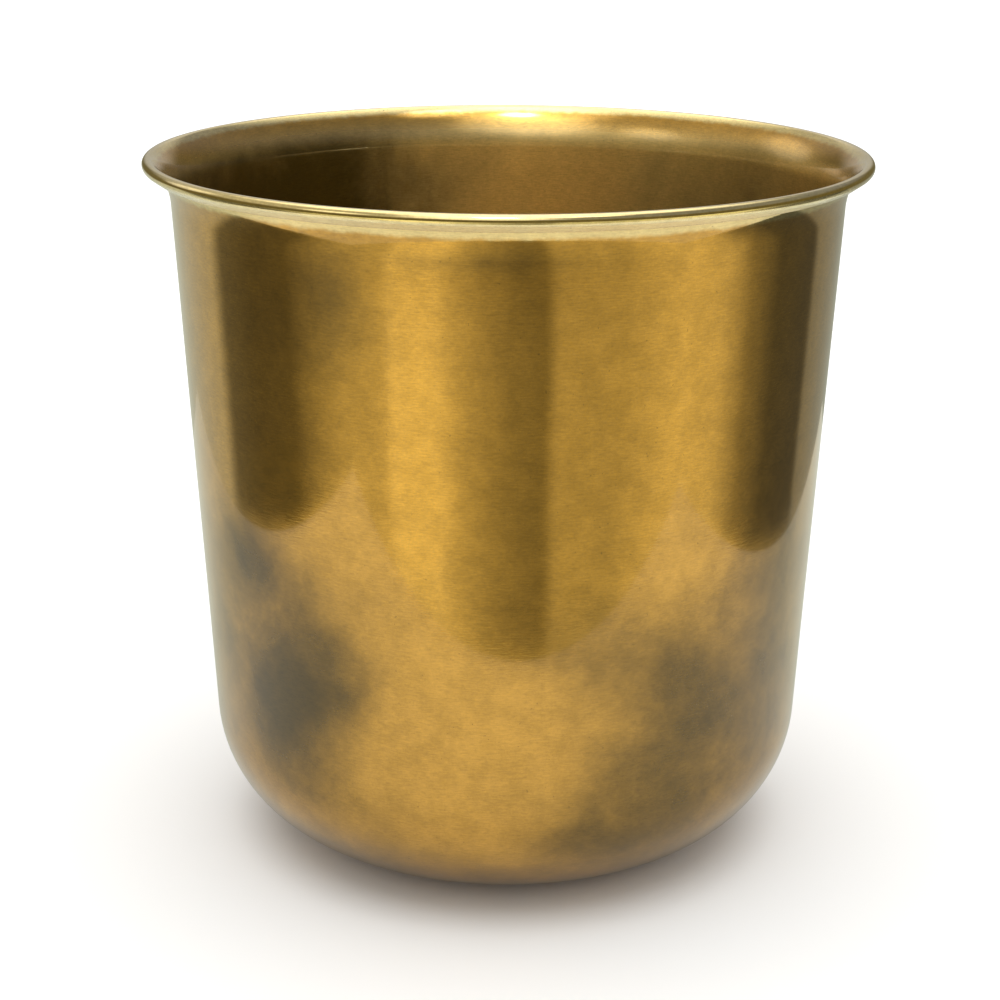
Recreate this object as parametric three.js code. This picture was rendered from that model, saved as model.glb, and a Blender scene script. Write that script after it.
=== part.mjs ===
// Brass planter pot: one spun sheet with a rounded heel, a slightly tapered wall and a flared mouth.
// The mouth's edge is rolled outward over a stiffening wire, and the pot stands on four small pads.
// Millimetres, +Z up. The origin is on the pot's axis, in the plane it stands on.

import * as THREE from 'three';

// Driving dimensions
const RIM_RADIUS = 110; // outermost radius of the rolled edge
const SHELL_HEIGHT = 215; // base underside to the top of the rolled edge
const SHEET = 0.8; // sheet thickness
const CLEARANCE = 0.3; // gap left between pieces that touch

const WALL_FOOT_RADIUS = 91.7; // outer wall radius, if the wall ran straight down to the base
const WALL_TILT = THREE.MathUtils.degToRad(2.9); // the wall leans outward as it rises
const HEEL_RADIUS = 41; // outer bend between base and wall

const FLARE_TILT = THREE.MathUtils.degToRad(45); // lean of the mouth where it meets the rolled edge
const BEAD_RADIUS = 1.8; // outer radius of the roll over the wire
const BEAD_TURN_END = THREE.MathUtils.degToRad(235); // heading at which the roll ends
const HEM_LENGTH = 3.1; // straight tail tucked back under the mouth

const PAD_RADIUS = 8;
const PAD_THICKNESS = 1.5;
const PAD_CIRCLE_RADIUS = 38; // from the axis to each pad's centre

const TURNS = 72; // facets round the pot and its wire
const HEEL_STEPS = 9;
const FLARE_STEPS = 5;
const BEAD_STEPS = 9;
const WIRE_STEPS = 8;
const PAD_FACETS = 24;

// Worked-out dimensions
const SHELL_BOTTOM = PAD_THICKNESS + CLEARANCE;
const HALF_SHEET = SHEET / 2;
const WIRE_RADIUS = BEAD_RADIUS - SHEET - CLEARANCE;
const BEAD_CENTRE = new THREE.Vector2(RIM_RADIUS - BEAD_RADIUS, SHELL_BOTTOM + SHELL_HEIGHT - BEAD_RADIUS);

const brass = new THREE.MeshStandardMaterial({ color: '#b28a3e', roughness: 0.34, metalness: 1 });
const steel = new THREE.MeshStandardMaterial({ color: '#8d8f92', roughness: 0.45, metalness: 1 });
const rubber = new THREE.MeshStandardMaterial({ color: '#2a2826', roughness: 0.9, metalness: 0 });

// Middle of the wall sheet at a height.
function wallMidRadius(z) {
  const outer = WALL_FOOT_RADIUS + (z - SHELL_BOTTOM) * Math.tan(WALL_TILT);
  return outer - HALF_SHEET / Math.cos(WALL_TILT);
}

// A path along the middle of the sheet. A heading is measured from straight up, towards the outside.
class SheetPath {
  constructor(r, z, heading) {
    this.at = new THREE.Vector2(r, z);
    this.heading = heading;
    this.inside = [];
    this.outside = [];
    this.mark();
  }

  // Records both faces of the sheet at the present place.
  mark() {
    const across = new THREE.Vector2(Math.cos(this.heading), -Math.sin(this.heading));
    this.outside.push(this.at.clone().addScaledVector(across, HALF_SHEET));
    this.inside.push(this.at.clone().addScaledVector(across, -HALF_SHEET));
  }

  straight(length) {
    this.at.x += length * Math.sin(this.heading);
    this.at.y += length * Math.cos(this.heading);
    this.mark();
  }

  bend(midRadius, endHeading, steps) {
    const step = (endHeading - this.heading) / steps;
    const chord = 2 * midRadius * Math.sin(Math.abs(step) / 2);
    for (let i = 0; i < steps; i += 1) {
      const direction = this.heading + step / 2;
      this.at.x += chord * Math.sin(direction);
      this.at.y += chord * Math.cos(direction);
      this.heading += step;
      this.mark();
    }
  }

  // The closed outline: up the outside face and back down the inside face.
  outline() {
    return [...this.outside, ...this.inside.reverse()];
  }
}

// A solid of revolution about Z, from an outline of (radius, height) points.
function revolve(outline) {
  return new THREE.LatheGeometry(outline, TURNS).rotateX(Math.PI / 2);
}

function potShell() {
  const heelMid = HEEL_RADIUS - HALF_SHEET;
  const heelReach = HEEL_RADIUS * (1 - Math.sin(WALL_TILT)) / Math.cos(WALL_TILT);
  const baseRadius = WALL_FOOT_RADIUS - heelReach;

  const beadMid = BEAD_RADIUS - HALF_SHEET;
  const flareEnd = BEAD_CENTRE.clone().add(
    new THREE.Vector2(-Math.cos(FLARE_TILT), Math.sin(FLARE_TILT)).multiplyScalar(beadMid),
  );
  const flareRise = Math.sin(FLARE_TILT) - Math.sin(WALL_TILT);
  const flareRun = Math.cos(WALL_TILT) - Math.cos(FLARE_TILT) - Math.tan(WALL_TILT) * flareRise;
  const flareMid = (flareEnd.x - wallMidRadius(flareEnd.y)) / flareRun;
  const flareStart = flareEnd.y - flareMid * flareRise;
  const wallStart = SHELL_BOTTOM + HALF_SHEET + heelMid * (1 - Math.sin(WALL_TILT));
  const wallLength = (flareStart - wallStart) / Math.cos(WALL_TILT);

  const sheet = new SheetPath(0, SHELL_BOTTOM + HALF_SHEET, Math.PI / 2);
  sheet.straight(baseRadius);
  sheet.bend(heelMid, WALL_TILT, HEEL_STEPS);
  sheet.straight(wallLength);
  sheet.bend(flareMid, FLARE_TILT, FLARE_STEPS);
  sheet.bend(beadMid, BEAD_TURN_END, BEAD_STEPS);
  sheet.straight(HEM_LENGTH);
  return new THREE.Mesh(revolve(sheet.outline()), brass.clone());
}

function rimWire() {
  const circle = [];
  for (let i = 0; i <= WIRE_STEPS; i += 1) {
    const angle = (i % WIRE_STEPS) * 2 * Math.PI / WIRE_STEPS;
    const spoke = new THREE.Vector2(Math.cos(angle), Math.sin(angle));
    circle.push(BEAD_CENTRE.clone().addScaledVector(spoke, WIRE_RADIUS));
  }
  return new THREE.Mesh(revolve(circle), steel.clone());
}

function basePad(angle) {
  const disc = new THREE.CylinderGeometry(PAD_RADIUS, PAD_RADIUS, PAD_THICKNESS, PAD_FACETS);
  const pad = new THREE.Mesh(disc.rotateX(Math.PI / 2), rubber.clone());
  pad.position.set(
    PAD_CIRCLE_RADIUS * Math.cos(angle),
    PAD_CIRCLE_RADIUS * Math.sin(angle),
    PAD_THICKNESS / 2,
  );
  return pad;
}

function named(mesh, name) {
  mesh.name = name;
  return mesh;
}

const pot = new THREE.Group();
pot.add(named(potShell(), 'pot_shell'));
pot.add(named(rimWire(), 'rim_wire'));

// The front is towards -Y.
const padNames = ['pad_back_right', 'pad_back_left', 'pad_front_left', 'pad_front_right'];
padNames.forEach((name, index) => {
  pot.add(named(basePad(Math.PI / 4 + index * Math.PI / 2), name));
});

export default pot;
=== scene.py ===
import math

import bpy
from mathutils import Matrix, Vector, noise


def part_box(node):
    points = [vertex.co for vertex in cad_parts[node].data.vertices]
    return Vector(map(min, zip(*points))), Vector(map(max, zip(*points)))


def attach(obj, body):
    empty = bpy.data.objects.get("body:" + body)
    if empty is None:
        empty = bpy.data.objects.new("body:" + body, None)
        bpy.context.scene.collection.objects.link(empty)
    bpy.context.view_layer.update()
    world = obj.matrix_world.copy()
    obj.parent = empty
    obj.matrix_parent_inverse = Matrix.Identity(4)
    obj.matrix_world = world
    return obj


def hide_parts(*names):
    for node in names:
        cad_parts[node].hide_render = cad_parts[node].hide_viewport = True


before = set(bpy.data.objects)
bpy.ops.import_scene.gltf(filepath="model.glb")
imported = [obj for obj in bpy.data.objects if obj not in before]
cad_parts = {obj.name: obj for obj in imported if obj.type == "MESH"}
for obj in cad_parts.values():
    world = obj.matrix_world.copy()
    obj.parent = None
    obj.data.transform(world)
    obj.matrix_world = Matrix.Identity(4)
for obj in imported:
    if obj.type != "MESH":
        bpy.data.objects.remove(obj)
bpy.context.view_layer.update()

# Sizes in metres. The shell's outer sizes come from the CAD node, the rest repeat its driving dimensions.
shell_low, shell_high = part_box("pot_shell")
RIM_RADIUS = shell_high.x
SHELL_TOP = shell_high.z
SHELL_BOTTOM = shell_low.z

SHEET = 0.0008
CLEARANCE = 0.0003
WALL_FOOT_RADIUS = 0.0917
WALL_TILT = math.radians(2.9)
HEEL_RADIUS = 0.041
FLARE_TILT = math.radians(45)
BEAD_RADIUS = 0.0018
BEAD_TURN_END = math.radians(235)
HEM_LENGTH = 0.0031
HALF_SHEET = SHEET / 2
WIRE_RADIUS = BEAD_RADIUS - SHEET - CLEARANCE
BEAD_CENTRE = Vector((RIM_RADIUS - BEAD_RADIUS, SHELL_TOP - BEAD_RADIUS))

# The photographer's place, measured from the pot's axis and the floor.
CAMERA_DISTANCE = 0.634
CAMERA_HEIGHT = 0.311
CAMERA_PITCH = math.radians(17.97)
CAMERA_TURN = math.radians(0.19)
CAMERA_ROLL = math.radians(0.24)

# Steps of the meshes: round the pot and the pads, and along each stretch of the outlines.
TURNS = 288
PAD_TURNS = 48
BASE_STEPS = 10
HEEL_STEPS = 28
WALL_STEPS = 30
FLARE_STEPS = 14
BEAD_STEPS = 24
HEM_STEPS = 3
CUT_EDGE_STEPS = 6
WIRE_STEPS = 14
PAD_ROUND_STEPS = 6

# The spun sheet's unevenness: how far it goes either way, and the size of its waves.
SHEET_WAVE = 0.00005
WAVE_LENGTH = 0.05

# The pads' lower edge is rounded by this share of their thickness. The upper one is bevelled by a share
# of that.
PAD_ROUND = 0.4
PAD_BEVEL = 0.2

# A point of an outline closer to the axis than this is on it.
AXIS_RADIUS = 1e-7


class SheetPath:
    """A path along the middle of the sheet, with a heading measured from straight up towards the outside."""

    def __init__(self, r, z, heading):
        self.at = Vector((r, z))
        self.heading = heading
        self.length = 0.0
        self.inside = []
        self.outside = []
        self.mark()

    def mark(self):
        """Keeps the two faces' points at this place, each with the length so far and its side."""
        across = Vector((math.cos(self.heading), -math.sin(self.heading)))
        self.outside.append((self.at + across * HALF_SHEET, self.length, 0.0))
        self.inside.append((self.at - across * HALF_SHEET, self.length, 1.0))

    def move(self, length, direction):
        self.at += length * Vector((math.sin(direction), math.cos(direction)))
        self.length += length
        self.mark()

    def straight(self, length, steps):
        for _ in range(steps):
            self.move(length / steps, self.heading)

    def bend(self, mid_radius, end_heading, steps):
        """An arc of the sheet's middle, from the present heading to another."""
        step = (end_heading - self.heading) / steps
        chord = 2 * mid_radius * math.sin(abs(step) / 2)
        for _ in range(steps):
            direction = self.heading + step / 2
            self.heading += step
            self.move(chord, direction)

    def rounded_edge(self, steps):
        """Half a turn round the sheet's cut edge, from the outside face to the inside face."""
        points = []
        for i in range(1, steps):
            angle = self.heading + math.pi / 2 - math.pi * i / steps
            point = self.at + HALF_SHEET * Vector((math.sin(angle), math.cos(angle)))
            points.append((point, self.length, i / steps))
        return points

    def outline(self):
        """The whole outline: up the outside, round the cut edge and back down the inside."""
        return self.outside + self.rounded_edge(CUT_EDGE_STEPS) + self.inside[::-1]


def wall_mid_radius(z):
    """The radius of the middle of the sheet where the wall is straight."""
    return WALL_FOOT_RADIUS + (z - SHELL_BOTTOM) * math.tan(WALL_TILT) - HALF_SHEET / math.cos(WALL_TILT)


def shell_outline():
    """The shell's outline, and the lengths along it where the flare and the bead begin."""
    heel_mid = HEEL_RADIUS - HALF_SHEET
    base_radius = WALL_FOOT_RADIUS - HEEL_RADIUS * (1 - math.sin(WALL_TILT)) / math.cos(WALL_TILT)
    bead_mid = BEAD_RADIUS - HALF_SHEET
    flare_end = BEAD_CENTRE + bead_mid * Vector((-math.cos(FLARE_TILT), math.sin(FLARE_TILT)))
    flare_rise = math.sin(FLARE_TILT) - math.sin(WALL_TILT)
    flare_run = math.cos(WALL_TILT) - math.cos(FLARE_TILT) - math.tan(WALL_TILT) * flare_rise
    flare_mid = (flare_end.x - wall_mid_radius(flare_end.y)) / flare_run
    flare_start = flare_end.y - flare_mid * flare_rise
    wall_start = SHELL_BOTTOM + HALF_SHEET + heel_mid * (1 - math.sin(WALL_TILT))

    path = SheetPath(0, SHELL_BOTTOM + HALF_SHEET, math.pi / 2)
    path.straight(base_radius, BASE_STEPS)
    path.bend(heel_mid, WALL_TILT, HEEL_STEPS)
    path.straight((flare_start - wall_start) / math.cos(WALL_TILT), WALL_STEPS)
    flare_along = path.length
    path.bend(flare_mid, FLARE_TILT, FLARE_STEPS)
    bead_along = path.length
    path.bend(bead_mid, BEAD_TURN_END, BEAD_STEPS)
    path.straight(HEM_LENGTH, HEM_STEPS)
    return path.outline(), flare_along, bead_along


def sheet_wave(point):
    """A slight unevenness of the spun sheet, the same on both of its faces."""
    return SHEET_WAVE * noise.noise(Vector((point.x, point.y, point.z)) / WAVE_LENGTH)


def revolve(name, outline, centre=(0.0, 0.0), turns=TURNS, wave=None, closed=False):
    """A closed mesh turned about an upright axis from (point, length, side) entries of an outline.

    The length along the outline and the side (0 outside, 1 inside) are kept as the attributes along and
    side. A closed outline joins its last point to its first and doesn't touch the axis.
    """
    vertices, along, side, rings = [], [], [], []
    for (r, z), length, face in outline:
        count = 1 if r < AXIS_RADIUS else turns
        rings.append(range(len(vertices), len(vertices) + count))
        for i in range(count):
            angle = 2 * math.pi * i / turns
            spoke = Vector((math.cos(angle), math.sin(angle), 0))
            point = spoke * r + Vector((0, 0, z))
            if wave and count > 1:
                point += spoke * wave(point)
            vertices.append(point + Vector((*centre, 0)))
            along.append(length)
            side.append(face)
    faces = []
    pairs = list(zip(rings, rings[1:]))
    if closed:
        pairs.append((rings[-1], rings[0]))
    for lower, upper in pairs:
        for i in range(turns):
            j = (i + 1) % turns
            corners = [
                lower[i % len(lower)], lower[j % len(lower)],
                upper[j % len(upper)], upper[i % len(upper)],
            ]
            faces.append(list(dict.fromkeys(corners)))
    mesh = bpy.data.meshes.new(name)
    mesh.from_pydata(vertices, [], faces)
    mesh.attributes.new("along", "FLOAT", "POINT").data.foreach_set("value", along)
    mesh.attributes.new("side", "FLOAT", "POINT").data.foreach_set("value", side)
    mesh.shade_smooth()
    mesh.update()
    piece = bpy.data.objects.new(name, mesh)
    bpy.context.collection.objects.link(piece)
    return piece


class Nodes:
    """Short calls for building one node tree."""

    def __init__(self, tree):
        self.tree = tree
        tree.nodes.clear()

    def add(self, kind, inputs=None, **settings):
        node = self.tree.nodes.new(kind)
        for key, value in settings.items():
            setattr(node, key, value)
        for key, value in (inputs or {}).items():
            if isinstance(value, bpy.types.NodeSocket):
                self.tree.links.new(value, node.inputs[key])
            else:
                node.inputs[key].default_value = value
        return node

    def math(self, operation, a, b=0.0, c=0.0):
        return self.add("ShaderNodeMath", {0: a, 1: b, 2: c}, operation=operation).outputs[0]

    def noise(self, vector, scale, detail=3.0, roughness=0.5, distortion=0.0):
        inputs = {"Vector": vector, "Scale": scale, "Detail": detail, "Roughness": roughness,
                  "Distortion": distortion}
        return self.add("ShaderNodeTexNoise", inputs).outputs["Fac"]

    def ramp(self, value, low, high, to_low=0.0, to_high=1.0):
        inputs = {"Value": value, "From Min": low, "From Max": high, "To Min": to_low, "To Max": to_high}
        return self.add("ShaderNodeMapRange", inputs, interpolation_type="SMOOTHSTEP").outputs[0]

    def mix(self, factor, a, b):
        node = self.add("ShaderNodeMix", data_type="RGBA")
        for socket, value in ((node.inputs[0], factor), (node.inputs[6], a), (node.inputs[7], b)):
            if isinstance(value, bpy.types.NodeSocket):
                self.tree.links.new(value, socket)
            else:
                socket.default_value = value
        return node.outputs[2]

    def stretch(self, vector, x, y, z):
        return self.add("ShaderNodeMapping", {"Vector": vector, "Scale": (x, y, z)}).outputs[0]


def new_material(name):
    material = bpy.data.materials.new(name)
    material.use_nodes = True
    return material, Nodes(material.node_tree)


# Cloudy dark tarnish on the wall: azimuth in degrees from the front towards +X, height, half width,
# half height and strength. Each cloud fades out at CLOUD_REACH times its half width and half height.
TARNISH_CLOUDS = (
    (-41, 0.064, 0.026, 0.030, 1.00),
    (-32, 0.078, 0.030, 0.016, 0.55),
    (-48, 0.070, 0.048, 0.054, 0.60),
    (-52, 0.110, 0.026, 0.016, 0.75),
    (-38, 0.100, 0.040, 0.020, 0.35),
    (-38, 0.188, 0.030, 0.026, 0.55),
    (-26, 0.186, 0.022, 0.032, 0.80),
    (-3, 0.203, 0.030, 0.006, 1.00),
    (-9, 0.112, 0.020, 0.022, 0.60),
    (-18, 0.015, 0.042, 0.014, 0.60),
    (-24, 0.034, 0.030, 0.016, 0.35),
    (23, 0.090, 0.034, 0.022, 0.75),
    (28, 0.068, 0.030, 0.026, 0.45),
    (38, 0.048, 0.050, 0.038, 0.70),
    (57, 0.084, 0.040, 0.056, 0.90),
    (20, 0.035, 0.036, 0.022, 0.85),
    (-66, 0.080, 0.030, 0.080, 0.40),
    (150, 0.120, 0.060, 0.070, 0.60),
    (-115, 0.060, 0.060, 0.040, 0.60),
)
# The same for patches rubbed cleaner on the front. Their strength is taken away from the tarnish.
CLEAN_PATCHES = (
    (-4, 0.052, 0.050, 0.058, 0.55),
    (-8, 0.160, 0.050, 0.060, 0.30),
    (24, 0.150, 0.050, 0.060, 0.20),
)
# The same for painted shade on the inside only: dark patches that stand in for the dark room mirrored on the
# inner wall.
INNER_PAINTED_SHADE = (
    (-118, 0.180, 0.065, 0.080, 1.90),
    (-150, 0.180, 0.050, 0.070, 1.25),
    (134, 0.170, 0.050, 0.070, 0.90),
    (-78, 0.180, 0.060, 0.080, 1.30),
    (84, 0.195, 0.045, 0.060, 1.20),
)
CLOUD_REACH = 1.35
# The summed strength that gives full tarnish and painted shade, and how much a noise adds to it or takes
# from it.
FULL_TARNISH_AND_SHADE = 2.1
WARP = 2.0

# A faint haze of tarnish low on the wall, which starts at the first height and is full at the second.
LOW_HAZE = 0.45
HAZE_TOP = 0.130
HAZE_FULL = 0.095

# Lengths along the outline: the rubbed rim starts this far before the bead, later on the inside, and
# fades in over the third length. The last number is how ragged its edge is.
RUBBED_BEFORE_BEAD = 0.0088
RUBBED_LATER_INSIDE = 0.0061
RUBBED_FADE = 0.0018
RUBBED_WEAR = 1.2
# Lengths past the start of the bead over which the hem's painted reflection of the bright table fades in,
# and past the start of the flare where the dull inside is gone and where it is full.
HEM_FADE = (0.0032, 0.0050)
INNER_FADE = (0.012, 0.001)

POLISHED = (0.60, 0.330, 0.045, 1)
POLISHED_WARM = (0.67, 0.370, 0.055, 1)
RUBBED = (0.87, 0.68, 0.28, 1)
# Painted reflection: pale colour on the hem, standing in for the bright table mirrored under the rim.
HEM_PAINTED_REFLECTION = (0.97, 0.86, 0.48, 1)
# Dark tarnish brown, also the colour of the painted shade inside the pot.
TARNISH_AND_PAINTED_SHADE = (0.082, 0.054, 0.008, 1)
INNER_DULL = (0.84, 0.62, 0.24, 1)
SPECKS = 0.4

# How far each pattern lightens or darkens the brass.
DASH_SHADE = 0.46
DASH_SHADE_BASE = 0.77
GRAIN_SHADE = 0.34
CLOUDED_SHADE = 0.34
LINE_SHADE = 0.10

# Roughness of the polished wall, and what each finish adds to it.
POLISHED_ROUGH = 0.09
TARNISH_ROUGH = 0.20
RUBBED_ROUGH = -0.04
INNER_ROUGH = 0.20
INSIDE_ROUGH = 0.05
HEM_ROUGH = 0.28
LINE_ROUGH = 0.03
# What the hem's painted reflection adds to the metal's full metallic value, so that its pale colour shows.
HEM_REFLECTION_METALLIC = -0.4

STEEL = (0.42, 0.42, 0.43, 1)
STEEL_DIRT = (0.20, 0.17, 0.13, 1)
RUBBER = (0.018, 0.017, 0.016, 1)
RUBBER_DUST = (0.06, 0.055, 0.05, 1)


def cloud_field(n, place, clouds):
    """The summed strength of soft round patches on the wall."""
    total = 0.0
    for azimuth, height, half_width, half_height, strength in clouds:
        angle = math.radians(azimuth)
        wall = WALL_FOOT_RADIUS + height * math.tan(WALL_TILT)
        centre = Vector((wall * math.sin(angle), -wall * math.cos(angle), height))
        offset = n.add("ShaderNodeVectorMath", {0: place, 1: centre}, operation="SUBTRACT").outputs[0]
        reach = (1 / half_width, 1 / half_width, 1 / half_height)
        sized = n.add("ShaderNodeVectorMath", {0: offset, 1: reach}, operation="MULTIPLY").outputs[0]
        distance = n.add("ShaderNodeVectorMath", {0: sized}, operation="LENGTH").outputs["Value"]
        total = n.math("ADD", n.ramp(distance, CLOUD_REACH, 0.0, 0.0, strength), total)
    return total


def antique_brass(flare_along, bead_along):
    """Brushed, tarnished brass under a clear coat, with a rubbed rim, a painted reflection on the hem and a
    dull inside with painted shade.
    """
    material, n = new_material("antique_brass")
    place = n.add("ShaderNodeTexCoord").outputs["Object"]
    split = n.add("ShaderNodeSeparateXYZ", {0: place})
    along = n.add("ShaderNodeAttribute", attribute_name="along").outputs["Fac"]
    side = n.add("ShaderNodeAttribute", attribute_name="side").outputs["Fac"]
    on_sheet = n.add(
        "ShaderNodeCombineXYZ", {"X": split.outputs["X"], "Y": split.outputs["Y"], "Z": along}
    ).outputs[0]

    rubbed_start = n.math("MULTIPLY_ADD", side, RUBBED_LATER_INSIDE, bead_along - RUBBED_BEFORE_BEAD)
    rubbed = n.math("DIVIDE", n.math("SUBTRACT", along, rubbed_start), RUBBED_FADE)
    wear = n.noise(place, 260.0, 3.0, 0.6)
    rubbed = n.math("MULTIPLY_ADD", n.math("SUBTRACT", wear, 0.5), RUBBED_WEAR, rubbed)
    rubbed = n.ramp(rubbed, 0.0, 1.0)
    unrubbed = n.math("SUBTRACT", 1.0, rubbed)
    inner = n.ramp(along, flare_along + INNER_FADE[0], flare_along + INNER_FADE[1])
    inner = n.math("MULTIPLY", side, inner)
    hem = n.ramp(along, bead_along + HEM_FADE[0], bead_along + HEM_FADE[1])

    warp = n.noise(place, 30.0, 6.0, 0.62, 0.3)
    low = n.ramp(split.outputs["Z"], HAZE_TOP, HAZE_FULL, 0.0, LOW_HAZE)
    field = n.math("ADD", cloud_field(n, place, TARNISH_CLOUDS), low)
    field = n.math("SUBTRACT", field, cloud_field(n, place, CLEAN_PATCHES))
    # Painted shade: dark patches inside the pot, for the dark room mirrored on the inner wall, added to the
    # tarnish.
    field = n.math("MULTIPLY_ADD", cloud_field(n, place, INNER_PAINTED_SHADE), inner, field)
    field = n.math("MULTIPLY_ADD", n.math("SUBTRACT", warp, 0.5), WARP, field)
    tarnish_and_painted_shade = n.math("MULTIPLY", n.ramp(field, 0.0, FULL_TARNISH_AND_SHADE), unrubbed)

    mottle = n.noise(place, 140.0, 3.0, 0.55)
    dashes = n.noise(n.stretch(on_sheet, 450, 450, 2600), 1.0, 1.0, 0.5)
    lines = n.noise(n.stretch(on_sheet, 12, 12, 1500), 1.0, 2.0, 0.6)
    grain = n.noise(place, 1500.0, 2.0, 0.6)
    clouded = n.noise(place, 70.0, 5.0, 0.62)
    specks = n.ramp(n.noise(place, 900.0, 1.0, 0.5), 0.75, 0.80)

    polished = n.mix(n.ramp(mottle, 0.35, 0.65), POLISHED, POLISHED_WARM)
    colour = n.mix(rubbed, polished, RUBBED)
    # Painted reflection: the hem turns pale, for the bright table mirrored under the rim.
    colour = n.mix(hem, colour, HEM_PAINTED_REFLECTION)
    colour = n.mix(inner, colour, INNER_DULL)
    # Darkens to tarnish, and inside the pot to painted shade.
    colour = n.mix(tarnish_and_painted_shade, colour, TARNISH_AND_PAINTED_SHADE)
    shade = n.math("MULTIPLY_ADD", dashes, DASH_SHADE, DASH_SHADE_BASE)
    for pattern, amount in ((grain, GRAIN_SHADE), (clouded, CLOUDED_SHADE), (lines, LINE_SHADE)):
        shade = n.math("MULTIPLY_ADD", n.math("SUBTRACT", pattern, 0.5), amount, shade)
    colour = n.add("ShaderNodeVectorMath", {0: colour, 1: shade}, operation="MULTIPLY").outputs[0]
    colour = n.mix(n.math("MULTIPLY", specks, SPECKS), colour, TARNISH_AND_PAINTED_SHADE)

    rough = n.math("MULTIPLY_ADD", tarnish_and_painted_shade, TARNISH_ROUGH, POLISHED_ROUGH)
    rough = n.math("MULTIPLY_ADD", rubbed, RUBBED_ROUGH, rough)
    rough = n.math("MULTIPLY_ADD", inner, INNER_ROUGH, rough)
    rough = n.math("MULTIPLY_ADD", n.math("MULTIPLY", side, unrubbed), INSIDE_ROUGH, rough)
    rough = n.math("MULTIPLY_ADD", hem, HEM_ROUGH, rough)
    rough = n.math("MULTIPLY_ADD", lines, LINE_ROUGH, rough)
    # Less metal on the hem lets its painted reflection, the pale colour, show.
    metallic = n.math("MULTIPLY_ADD", hem, HEM_REFLECTION_METALLIC, 1.0)

    relief = n.math("ADD", dashes, lines)
    bump = n.add("ShaderNodeBump", {"Height": relief, "Strength": 0.2, "Distance": 0.00002}).outputs[0]

    shader = n.add("ShaderNodeBsdfPrincipled", {
        "Base Color": colour, "Metallic": metallic, "Roughness": rough, "Normal": bump,
        "Coat Weight": 1.0, "Coat Roughness": 0.05, "Coat IOR": 1.5,
    })
    n.add("ShaderNodeOutputMaterial", {"Surface": shader.outputs[0]})
    return material


def drawn_wire():
    """Drawn steel wire with a little dirt."""
    material, n = new_material("drawn_wire")
    place = n.add("ShaderNodeTexCoord").outputs["Object"]
    dirt = n.noise(place, 300.0, 4.0, 0.6)
    colour = n.mix(n.ramp(dirt, 0.4, 0.7), STEEL, STEEL_DIRT)
    rough = n.ramp(dirt, 0.3, 0.7, 0.35, 0.6)
    bump = n.add("ShaderNodeBump", {"Height": dirt, "Strength": 0.2, "Distance": 0.00005}).outputs[0]
    shader = n.add("ShaderNodeBsdfPrincipled", {
        "Base Color": colour, "Metallic": 1.0, "Roughness": rough, "Normal": bump,
    })
    n.add("ShaderNodeOutputMaterial", {"Surface": shader.outputs[0]})
    return material


def pad_rubber():
    """Matt black rubber with dust."""
    material, n = new_material("pad_rubber")
    place = n.add("ShaderNodeTexCoord").outputs["Object"]
    grain = n.noise(place, 2500.0, 2.0, 0.6)
    dust = n.noise(place, 120.0, 4.0, 0.6)
    colour = n.mix(n.ramp(dust, 0.45, 0.75), RUBBER, RUBBER_DUST)
    rough = n.ramp(dust, 0.3, 0.7, 0.7, 0.9)
    bump = n.add("ShaderNodeBump", {"Height": grain, "Strength": 0.4, "Distance": 0.0001}).outputs[0]
    shader = n.add("ShaderNodeBsdfPrincipled", {"Base Color": colour, "Roughness": rough, "Normal": bump})
    n.add("ShaderNodeOutputMaterial", {"Surface": shader.outputs[0]})
    return material


def finish_piece(piece, material, node):
    """Gives a piece its material, says what it rides on and hides the CAD node that it stands for."""
    piece.data.materials.append(material)
    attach(piece, "root")
    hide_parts(node)


def make_shell():
    outline, flare_along, bead_along = shell_outline()
    piece = revolve("spun_shell", outline, wave=sheet_wave)
    finish_piece(piece, antique_brass(flare_along, bead_along), "pot_shell")


def make_wire():
    circle = []
    for i in range(WIRE_STEPS):
        angle = -2 * math.pi * i / WIRE_STEPS
        spoke = Vector((math.cos(angle), math.sin(angle)))
        circle.append((BEAD_CENTRE + WIRE_RADIUS * spoke, WIRE_RADIUS * angle, 0.0))
    piece = revolve("edge_wire", circle[::-1], closed=True)
    finish_piece(piece, drawn_wire(), "rim_wire")


def pad_outline(radius, low, high):
    """A disc with a small round along its lower edge and a smaller bevel along its upper one."""
    edge = (high - low) * PAD_ROUND
    bevel = edge * PAD_BEVEL
    points = [(Vector((0, low)), 0.0, 0.0)]
    for i in range(PAD_ROUND_STEPS + 1):
        angle = math.pi / 2 * i / PAD_ROUND_STEPS
        r = radius - edge + edge * math.sin(angle)
        z = low + edge - edge * math.cos(angle)
        points.append((Vector((r, z)), r, 0.0))
    points.append((Vector((radius, high - bevel)), radius, 0.0))
    points.append((Vector((radius - bevel, high)), radius, 0.0))
    points.append((Vector((0, high)), 0.0, 0.0))
    return points


def make_pads():
    rubber = pad_rubber()
    for node in ("pad_front_left", "pad_front_right", "pad_back_left", "pad_back_right"):
        low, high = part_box(node)
        centre = (low + high) / 2
        outline = pad_outline((high.x - low.x) / 2, low.z, high.z)
        piece = revolve(node + "_disc", outline, centre=(centre.x, centre.y), turns=PAD_TURNS)
        finish_piece(piece, rubber, node)


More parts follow.
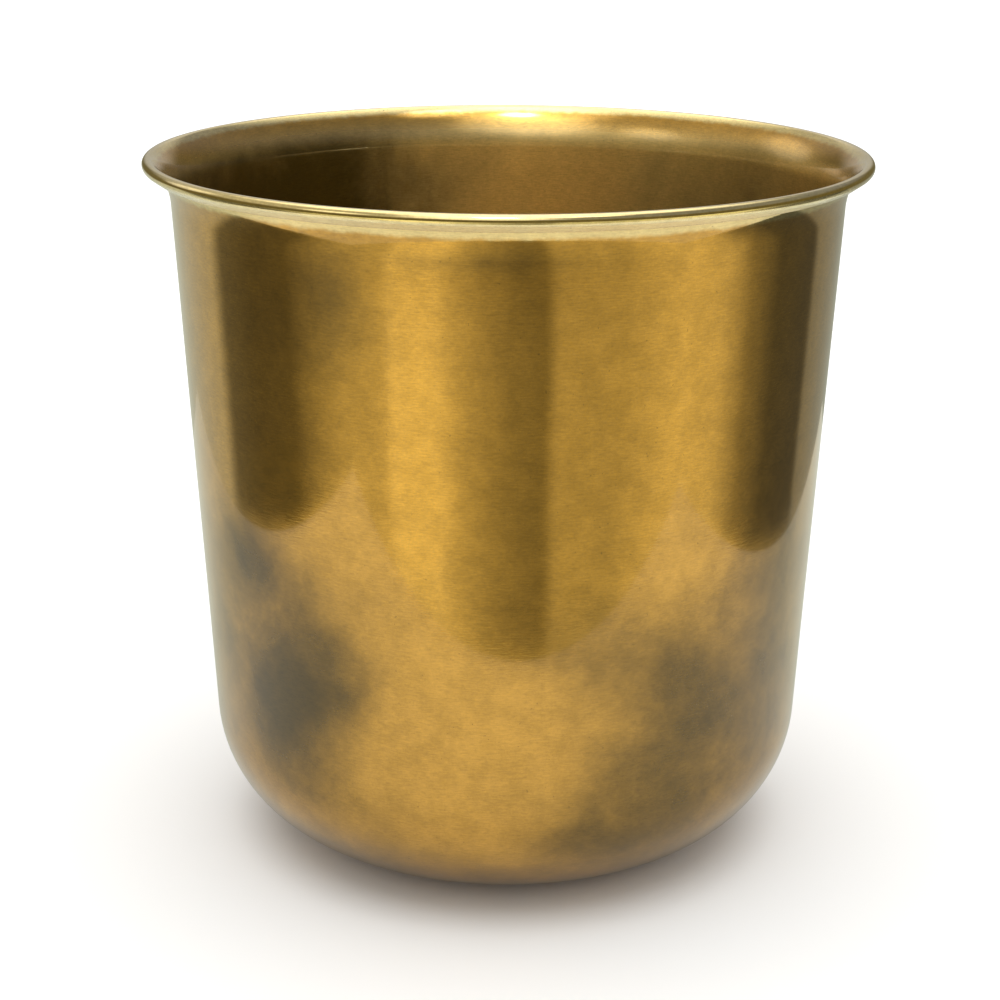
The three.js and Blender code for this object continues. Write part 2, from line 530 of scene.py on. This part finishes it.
def flat_sheet(name, size, turn, middle, z, front_colour, back_colour):
    """A square sheet of the stage, whose colour changes from in front of the pot's axis to behind it."""
    half = size / 2
    corners = [(-half, -half, 0), (half, -half, 0), (half, half, 0), (-half, half, 0)]
    place = Matrix.Translation((middle[0], middle[1], z)) @ Matrix.Rotation(turn, 4, "Z")
    mesh = bpy.data.meshes.new(name)
    mesh.from_pydata([place @ Vector(c) for c in corners], [], [(0, 1, 2, 3)])
    sheet = bpy.data.objects.new(name, mesh)
    bpy.context.collection.objects.link(sheet)
    material, n = new_material(name)
    y = n.add("ShaderNodeSeparateXYZ", {0: n.add("ShaderNodeTexCoord").outputs["Object"]}).outputs["Y"]
    colour = n.mix(n.ramp(y, *COLOUR_CHANGE), front_colour, back_colour)
    shader = n.add("ShaderNodeBsdfPrincipled", {"Base Color": colour, "Roughness": 0.9})
    n.add("ShaderNodeOutputMaterial", {"Surface": shader.outputs[0]})
    mesh.materials.append(material)
    return sheet


# What the pot mirrors of the room just past the table's edge: azimuth in degrees from the front
# towards +X, and brightness.
ROOM_BANDS = (
    (-180, 0.62), (-162, 0.54), (-150, 0.52), (-120, 0.56), (-113, 0.17), (-96, 0.13), (-80, 0.15),
    (-60, 0.62), (-43, 0.78), (-40, 1.14), (-24, 1.10), (-17, 0.74), (-6, 0.46), (2, 0.34), (13, 0.27),
    (17, 0.61), (40, 0.60), (62, 0.92), (78, 0.78), (90, 0.30), (104, 0.11), (126, 0.09),
    (129, 0.27), (150, 0.31), (166, 0.38), (180, 0.62),
)
# Lamps and bright panels above the pot: azimuth, elevation, inner and outer radius in degrees, and
# brightness.
LAMPS = (
    (-6, 64, 2, 6, 16.0),
    (-11, 68, 8, 25, 1.2),
    (-9, 42, 6, 27, 1.1),
    (46, 66, 3, 10, 1.7),
    (-58, 30, 3, 13, 0.8),
    (-122, 21, 4, 16, 0.55),
    (180, 16, 12, 26, 0.3),
    (180, 72, 14, 42, 1.4),
)
# The height that a direction rises where one part of the room gives way to the next.
HORIZON_START = (-0.25, -0.13)
DOME_START = (0.15, 0.48)
PALE_START = (-0.1, 0.6)
FRONT_LIFT = -0.10
DOME_SIDES = (-0.8, 0.8)
TINT_CHANGE = 100

DARK_HORIZON = (0.15, 0.125, 0.055, 1)
DOME_RIGHT = (0.23, 0.24, 0.27, 1)
DOME_LEFT = (0.54, 0.52, 0.45, 1)
WARM = (1.0, 0.96, 0.66)
BACK_TINT = (0.98, 1.0, 0.80)
FLOOR = (0.90, 0.90, 0.89, 1)
TABLE_FRONT = (0.63, 0.625, 0.59, 1)
TABLE_BACK = (0.43, 0.435, 0.36, 1)
ROOM_PALE = (1.0, 1.0, 0.995, 1)
FLOOR_LEVEL_PALE = (0.45, 0.45, 0.45, 1)

FLOOR_SIZE = 12.0
TABLE_SIZE = 6.25 * RIM_RADIUS
TABLE_TURN = math.radians(4.5)
TABLE_MIDDLE = (-0.17 * RIM_RADIUS, 0.72 * RIM_RADIUS)
TABLE_LIFT = 0.0002
COLOUR_CHANGE = (-0.08, 0.12)
SOFTBOX_ANGLE = math.radians(70)
SOFTBOX_ENERGY = 1.6
CAMERA_LENS = 75
CAMERA_SENSOR = 36


def aim(azimuth, elevation):
    """The unit vector towards an azimuth and an elevation in degrees."""
    a, e = math.radians(azimuth), math.radians(elevation)
    return Vector((math.sin(a) * math.cos(e), -math.cos(a) * math.cos(e), math.sin(e)))


def studio_world():
    """The mirrored room, seen by glossy rays only. Camera and diffuse rays see plain pale light."""
    world = bpy.data.worlds.new("studio")
    bpy.context.scene.world = world
    world.use_nodes = True
    n = Nodes(world.node_tree)
    direction = n.add("ShaderNodeTexCoord").outputs["Generated"]
    split = n.add("ShaderNodeSeparateXYZ", {0: direction})
    azimuth = n.math("ARCTAN2", split.outputs["X"], n.math("MULTIPLY", split.outputs["Y"], -1.0))
    turn = n.math("MULTIPLY_ADD", azimuth, 0.5 / math.pi, 0.5)
    bands = n.add("ShaderNodeValToRGB", {"Fac": turn})
    stops = bands.color_ramp.elements
    while len(stops) < len(ROOM_BANDS):
        stops.new(0.5)
    for stop, (degrees, level) in zip(stops, ROOM_BANDS):
        stop.position = degrees / 360 + 0.5
        tint = WARM if abs(degrees) < TINT_CHANGE else BACK_TINT
        stop.color = (level * tint[0], level * tint[1], level * tint[2], 1)
    height = split.outputs["Z"]
    front_lift = n.math("MULTIPLY_ADD", split.outputs["Y"], FRONT_LIFT, height)
    room = n.mix(n.ramp(front_lift, *HORIZON_START), bands.outputs["Color"], DARK_HORIZON)
    dome = n.mix(n.ramp(split.outputs["X"], *DOME_SIDES), DOME_LEFT, DOME_RIGHT)
    room = n.mix(n.ramp(height, *DOME_START), room, dome)
    for lamp_azimuth, elevation, inner, outer, brightness in LAMPS:
        towards = n.add(
            "ShaderNodeVectorMath", {0: direction, 1: aim(lamp_azimuth, elevation)}, operation="DOT_PRODUCT"
        ).outputs["Value"]
        edge, core = math.cos(math.radians(outer)), math.cos(math.radians(inner))
        glow = n.ramp(towards, edge, core, 0.0, brightness)
        room = n.add("ShaderNodeVectorMath", {0: room, 1: glow}, operation="ADD").outputs[0]
    glossy = n.add("ShaderNodeLightPath").outputs["Is Glossy Ray"]
    pale = n.mix(n.ramp(height, *PALE_START), FLOOR_LEVEL_PALE, ROOM_PALE)
    camera = n.add("ShaderNodeLightPath").outputs["Is Camera Ray"]
    pale = n.mix(camera, pale, ROOM_PALE)
    seen = n.mix(glossy, pale, room)
    background = n.add("ShaderNodeBackground", {"Color": seen, "Strength": 1.0})
    n.add("ShaderNodeOutputWorld", {"Surface": background.outputs[0]})


def make_stage():
    """The pale floor, the square table that only the pot's reflections show, and a soft overhead light."""
    floor = flat_sheet("floor", FLOOR_SIZE, 0.0, (0.0, 0.0), 0.0, FLOOR, FLOOR)
    floor.visible_glossy = False
    table = flat_sheet("table", TABLE_SIZE, TABLE_TURN, TABLE_MIDDLE, TABLE_LIFT, TABLE_FRONT, TABLE_BACK)
    table.visible_camera = False
    table.visible_diffuse = False
    table.visible_shadow = False

    lamp = bpy.data.lights.new("softbox", "SUN")
    lamp.angle = SOFTBOX_ANGLE
    lamp.energy = SOFTBOX_ENERGY
    softbox = bpy.data.objects.new("softbox", lamp)
    softbox.visible_glossy = False
    softbox.visible_camera = False
    bpy.context.collection.objects.link(softbox)


def make_camera():
    data = bpy.data.cameras.new("camera")
    data.lens = CAMERA_LENS
    data.sensor_width = CAMERA_SENSOR
    camera = bpy.data.objects.new("camera", data)
    bpy.context.collection.objects.link(camera)
    camera.matrix_world = (
        Matrix.Translation((0, -CAMERA_DISTANCE, CAMERA_HEIGHT))
        @ Matrix.Rotation(CAMERA_TURN, 4, "Z")
        @ Matrix.Rotation(math.pi / 2 - CAMERA_PITCH, 4, "X")
        @ Matrix.Rotation(CAMERA_ROLL, 4, "Z")
    )
    bpy.context.scene.camera = camera
    bpy.context.scene.view_settings.view_transform = "Standard"


make_camera()
make_stage()
studio_world()
make_shell()
make_wire()
make_pads()
